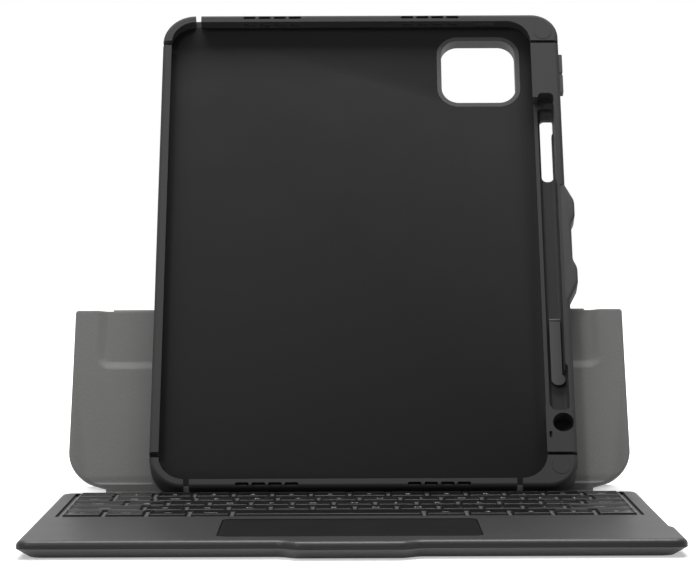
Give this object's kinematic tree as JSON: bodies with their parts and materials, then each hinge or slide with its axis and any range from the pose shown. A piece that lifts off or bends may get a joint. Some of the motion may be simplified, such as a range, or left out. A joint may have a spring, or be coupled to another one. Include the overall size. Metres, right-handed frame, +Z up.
{
  "type": "tablet keyboard case",
  "caption": "Rugged tablet bumper case with a pencil channel, leaning on a folding leather stand behind a flat keyboard base with a touchpad.",
  "frame": {"origin": "centre of the keyboard base's flat underside, on the table", "axes": "+X to the right of someone typing, +Y away from them, +Z up"},
  "size_m": [0.2619, 0.3271, 0.2308],
  "materials": {
    "cover_plastic": "matt underside shell with a soft-touch coat",
    "deck_plastic": "fine matt moulded deck",
    "plate_plastic": "matt web between the keys",
    "keycap": "satin keycaps",
    "touchpad_surface": "satin touch surface",
    "steel": "bare sheet steel",
    "board": "solder-masked board",
    "silicone": "translucent rubber sheet",
    "magnet": "plated magnet",
    "cell_wrap": "foil pouch",
    "folio_leather": "fine-grained coated leather",
    "folio_lining": "smooth coated lining",
    "card": "grey stiffening card",
    "bumper": "matt soft bumper",
    "back_plastic": "matt moulded back",
    "soft_pad": "short-nap lining cloth",
    "grip_rubber": "ribbed soft rubber"
  },
  "bodies": {
    "keyboard_base": {"bottom_cover": "cover_plastic", "deck_shell": "deck_plastic", "keyboard_plate": "plate_plastic", "support_plate": "steel", "key_circuit": "board", "dome_sheet": "silicone", "touchpad_bracket": "steel", "touchpad_switch": "steel", "main_board": "board", "charge_port": "steel", "deck_magnets": "magnet", "battery_left": "cell_wrap", "battery_right": "cell_wrap"},
    "spine": {"spine_strip": "folio_leather"},
    "lower_panel": {"lower_panel_skin": "folio_leather", "lower_panel_card": "card", "lower_panel_lining": "folio_lining", "lower_panel_magnets": "magnet", "fold_roll": "folio_leather"},
    "upper_panel": {"upper_panel_skin": "folio_leather", "upper_panel_card": "card", "upper_panel_lining": "folio_lining", "upper_panel_magnets": "magnet"},
    "bumper_case": {"bumper_frame": "bumper", "outer_back_panel": "back_plastic", "inner_back_panel": "back_plastic", "device_pad": "soft_pad", "case_magnets": "magnet", "camera_guard": "bumper", "side_grip": "grip_rubber", "corner_discs": "bumper"},
    "touchpad": {"touchpad": "touchpad_surface"},
    "pencil_tab": {"pencil_tab": "grip_rubber"},
    "power_button": {"power_button": "bumper"},
    "volume_up_button": {"volume_up_button": "bumper"},
    "volume_down_button": {"volume_down_button": "bumper"},
    "number_row_keys": {"number_row_keys": "keycap"},
    "upper_row_keys": {"upper_row_keys": "keycap"},
    "home_row_keys": {"home_row_keys": "keycap"},
    "lower_row_keys": {"lower_row_keys": "keycap"},
    "bottom_row_keys": {"bottom_row_keys": "keycap"},
    "tab_key": {"tab_key": "keycap"},
    "caps_key": {"caps_key": "keycap"},
    "enter_key": {"enter_key": "keycap"},
    "left_shift_key": {"left_shift_key": "keycap"},
    "right_shift_key": {"right_shift_key": "keycap"},
    "space_bar": {"space_bar": "keycap"}
  },
  "joints": [
    {"name": "spine_fold", "type": "hinge", "parent": "keyboard_base", "child": "spine", "pos_m": [0, 0.0922, 0.0009], "axis": [1, 0, 0], "range_deg": [0, 10]},
    {"name": "panel_fold", "type": "hinge", "parent": "spine", "child": "lower_panel", "pos_m": [0, 0.10175, 0.0009], "axis": [1, 0, 0], "range_deg": [-59.5, 3]},
    {"name": "leg_fold", "type": "hinge", "parent": "lower_panel", "child": "upper_panel", "pos_m": [0, 0.15357, 0.08522], "axis": [1, 0, 0], "range_deg": [-51.8, 126.3]},
    {"name": "case_lift", "type": "slide", "parent": "lower_panel", "child": "bumper_case", "axis": [0, -0.8616, 0.5075], "range_m": [0, 0.04]},
    {"name": "touchpad_click", "type": "slide", "parent": "keyboard_base", "child": "touchpad", "axis": [0, 0, -1], "range_m": [0, 0.0003], "stiffness_N_per_m": 9000},
    {"name": "pencil_tab_flex", "type": "hinge", "parent": "bumper_case", "child": "pencil_tab", "pos_m": [0.0016, 0.14291, 0.08181], "axis": [1, 0, 0], "range_deg": [-30, 0], "stiffness_Nm_per_rad": 0.05},
    {"name": "power_press", "type": "slide", "parent": "bumper_case", "child": "power_button", "axis": [0, -0.5075, -0.8616], "range_m": [0, 0.0005], "stiffness_N_per_m": 4000},
    {"name": "volume_up_press", "type": "slide", "parent": "bumper_case", "child": "volume_up_button", "axis": [-1, 0, 0], "range_m": [0, 0.0005], "stiffness_N_per_m": 4000},
    {"name": "volume_down_press", "type": "slide", "parent": "bumper_case", "child": "volume_down_button", "axis": [-1, 0, 0], "range_m": [0, 0.0005], "stiffness_N_per_m": 4000},
    {"name": "number_row_keys_travel", "type": "slide", "parent": "keyboard_base", "child": "number_row_keys", "axis": [0, 0, -1], "range_m": [0, 0.0012], "stiffness_N_per_m": 5880},
    {"name": "upper_row_keys_travel", "type": "slide", "parent": "keyboard_base", "child": "upper_row_keys", "axis": [0, 0, -1], "range_m": [0, 0.0012], "stiffness_N_per_m": 5460},
    {"name": "home_row_keys_travel", "type": "slide", "parent": "keyboard_base", "child": "home_row_keys", "axis": [0, 0, -1], "range_m": [0, 0.0012], "stiffness_N_per_m": 4620},
    {"name": "lower_row_keys_travel", "type": "slide", "parent": "keyboard_base", "child": "lower_row_keys", "axis": [0, 0, -1], "range_m": [0, 0.0012], "stiffness_N_per_m": 4200},
    {"name": "bottom_row_keys_travel", "type": "slide", "parent": "keyboard_base", "child": "bottom_row_keys", "axis": [0, 0, -1], "range_m": [0, 0.0012], "stiffness_N_per_m": 3780},
    {"name": "tab_key_travel", "type": "slide", "parent": "keyboard_base", "child": "tab_key", "axis": [0, 0, -1], "range_m": [0, 0.0012], "stiffness_N_per_m": 420},
    {"name": "caps_key_travel", "type": "slide", "parent": "keyboard_base", "child": "caps_key", "axis": [0, 0, -1], "range_m": [0, 0.0012], "stiffness_N_per_m": 420},
    {"name": "enter_key_travel", "type": "slide", "parent": "keyboard_base", "child": "enter_key", "axis": [0, 0, -1], "range_m": [0, 0.0012], "stiffness_N_per_m": 420},
    {"name": "left_shift_key_travel", "type": "slide", "parent": "keyboard_base", "child": "left_shift_key", "axis": [0, 0, -1], "range_m": [0, 0.0012], "stiffness_N_per_m": 420},
    {"name": "right_shift_key_travel", "type": "slide", "parent": "keyboard_base", "child": "right_shift_key", "axis": [0, 0, -1], "range_m": [0, 0.0012], "stiffness_N_per_m": 420},
    {"name": "space_bar_travel", "type": "slide", "parent": "keyboard_base", "child": "space_bar", "axis": [0, 0, -1], "range_m": [0, 0.0012], "stiffness_N_per_m": 420}
  ]
}
